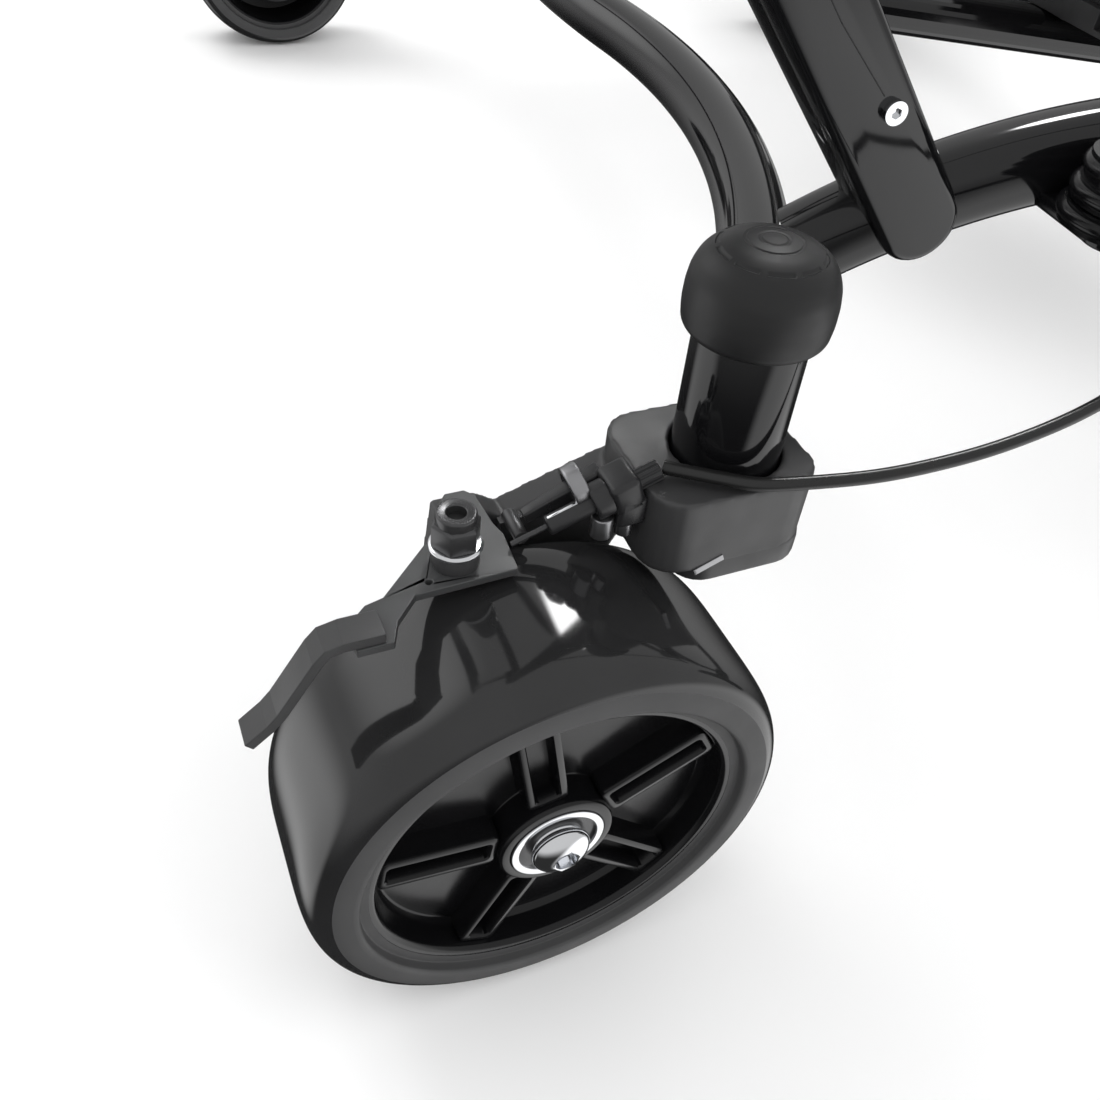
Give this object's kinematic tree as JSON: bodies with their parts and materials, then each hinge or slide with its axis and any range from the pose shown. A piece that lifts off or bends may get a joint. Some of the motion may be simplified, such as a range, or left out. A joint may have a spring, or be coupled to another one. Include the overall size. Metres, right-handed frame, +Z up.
{
  "type": "electric golf trolley",
  "caption": "Four-wheeled electric golf trolley with motor-driven front wheels, braked swivelling rear casters, a bent tube frame, a battery, bag supports and a fold-down handle.",
  "frame": {"origin": "on the ground, in the middle of the trolley's bounding box", "axes": "+X is the way it travels, +Y its left side, +Z up"},
  "size_m": [1.114, 1.0226, 0.9],
  "materials": {
    "gloss_tube": "gloss powder coat",
    "satin_black_metal": "satin powder coat",
    "dark_casting": "satin, fine cast texture",
    "tyre": "smooth tread, matte side walls",
    "soft_rubber": "satin",
    "gloss_plastic": "gloss",
    "matte_plastic": "fine matte texture",
    "chrome": "polished",
    "steel": "dull zinc",
    "cable_sheath": "satin",
    "red_plastic": "satin",
    "foam": "closed foam"
  },
  "bodies": {
    "frame": {"rear_cross_tube": "gloss_tube", "side_rail_r": "gloss_tube", "side_rail_l": "gloss_tube", "centre_beam": "gloss_tube", "drive_axle_tube": "gloss_tube", "strut_r": "gloss_tube", "strut_l": "gloss_tube", "strut_screws": "chrome", "upper_cross_bar": "gloss_tube", "fold_collar_r": "matte_plastic", "fold_collar_l": "matte_plastic", "head_post_r": "gloss_tube", "head_post_l": "gloss_tube", "post_cap_r": "soft_rubber", "post_cap_l": "soft_rubber", "brake_cable_r": "cable_sheath", "brake_cable_l": "cable_sheath", "motor_r": "satin_black_metal", "motor_l": "satin_black_metal", "battery_tray": "matte_plastic", "bag_base": "matte_plastic", "bag_cradle": "matte_plastic"},
    "caster_r": {"knuckle_r": "dark_casting", "axle_bolt_r": "chrome", "brake_plate_r": "dark_casting", "plate_nut_r": "steel", "scraper_r": "dark_casting", "cable_clamp_r": "satin_black_metal", "cable_adjuster_r": "satin_black_metal"},
    "caster_wheel_r": {"caster_rim_r": "gloss_plastic", "caster_tyre_r": "tyre", "wheel_bearings_r": "steel"},
    "crank_r": {"brake_crank_r": "steel"},
    "knob_r": {"rail_knob_r": "gloss_plastic"},
    "drive_wheel_r": {"drive_tyre_r": "tyre", "drive_rim_r": "gloss_plastic", "hub_cap_r": "matte_plastic"},
    "caster_l": {"knuckle_l": "dark_casting", "axle_bolt_l": "chrome", "brake_plate_l": "dark_casting", "plate_nut_l": "steel", "scraper_l": "dark_casting", "cable_clamp_l": "satin_black_metal", "cable_adjuster_l": "satin_black_metal"},
    "caster_wheel_l": {"caster_rim_l": "gloss_plastic", "caster_tyre_l": "tyre", "wheel_bearings_l": "steel"},
    "crank_l": {"brake_crank_l": "steel"},
    "knob_l": {"rail_knob_l": "gloss_plastic"},
    "drive_wheel_l": {"drive_tyre_l": "tyre", "drive_rim_l": "gloss_plastic", "hub_cap_l": "matte_plastic"},
    "battery_pack": {"battery": "matte_plastic"},
    "handle": {"handle_frame": "gloss_tube", "grip": "foam", "console": "matte_plastic"},
    "dial": {"speed_dial": "matte_plastic"},
    "button": {"power_button": "red_plastic"},
    "lever": {"brake_lever": "satin_black_metal"}
  },
  "joints": [
    {"name": "caster_swivel_r", "type": "hinge", "parent": "frame", "child": "caster_r", "pos_m": [-0.098, -0.4378, 0.19], "axis": [0, 0, 1], "range_deg": [-47.5, 32.5], "deforming": ["brake_cable_r"]},
    {"name": "caster_wheel_spin_r", "type": "hinge", "parent": "caster_r", "child": "caster_wheel_r", "pos_m": [-0.15967, -0.48112, 0.0762], "axis": [-0.1305, 0.9914, 0], "continuous": true},
    {"name": "brake_crank_turn_r", "type": "hinge", "parent": "caster_r", "child": "crank_r", "pos_m": [-0.15524, -0.43817, 0.102], "axis": [-0.1305, 0.9914, 0], "range_deg": [0, 12]},
    {"name": "rail_knob_turn_r", "type": "hinge", "parent": "frame", "child": "knob_r", "pos_m": [0.036, -0.411, 0.23], "axis": [0, 0, 1], "range_deg": [-90, 90]},
    {"name": "drive_wheel_spin_r", "type": "hinge", "parent": "frame", "child": "drive_wheel_r", "pos_m": [0.422, -0.48, 0.135], "axis": [0, 1, 0], "continuous": true},
    {"name": "caster_swivel_l", "type": "hinge", "parent": "frame", "child": "caster_l", "pos_m": [-0.098, 0.4378, 0.19], "axis": [0, 0, 1], "range_deg": [-47.5, 32.5], "deforming": ["brake_cable_l"]},
    {"name": "caster_wheel_spin_l", "type": "hinge", "parent": "caster_l", "child": "caster_wheel_l", "pos_m": [-0.16878, 0.46368, 0.0762], "axis": [-0.1305, 0.9914, 0], "continuous": true},
    {"name": "brake_crank_turn_l", "type": "hinge", "parent": "caster_l", "child": "crank_l", "pos_m": [-0.15339, 0.42335, 0.102], "axis": [-0.1305, 0.9914, 0], "range_deg": [0, 12]},
    {"name": "rail_knob_turn_l", "type": "hinge", "parent": "frame", "child": "knob_l", "pos_m": [0.036, 0.411, 0.23], "axis": [0, 0, 1], "range_deg": [-90, 90]},
    {"name": "drive_wheel_spin_l", "type": "hinge", "parent": "frame", "child": "drive_wheel_l", "pos_m": [0.422, 0.48, 0.135], "axis": [0, 1, 0], "continuous": true},
    {"name": "battery_lift", "type": "slide", "parent": "frame", "child": "battery_pack", "axis": [0, 0, 1], "range_m": [0, 0.12]},
    {"name": "handle_fold", "type": "hinge", "parent": "frame", "child": "handle", "pos_m": [-0.22568, 0, 0.47046], "axis": [0, 1, 0], "range_deg": [0, 120]},
    {"name": "brake_lever_squeeze", "type": "hinge", "parent": "handle", "child": "lever", "pos_m": [-0.5007, 0, 0.836], "axis": [0, -1, 0], "range_deg": [0, 20], "stiffness_Nm_per_rad": 0.6, "springref_deg": -20.05},
    {"name": "speed_dial_turn", "type": "hinge", "parent": "handle", "child": "dial", "pos_m": [-0.49018, -0.033, 0.8442], "axis": [-0.1736, 0, 0.9848], "range_deg": [-135, 135]},
    {"name": "power_button_press", "type": "slide", "parent": "handle", "child": "button", "axis": [0.1736, 0, -0.9848], "range_m": [0, 0.002], "stiffness_N_per_m": 400, "springref_m": -0.002}
  ],
  "couplings": [
    {"joint": "brake_crank_turn_r", "follows": "brake_lever_squeeze", "ratio": 0.6},
    {"joint": "brake_crank_turn_l", "follows": "brake_lever_squeeze", "ratio": 0.6}
  ]
}
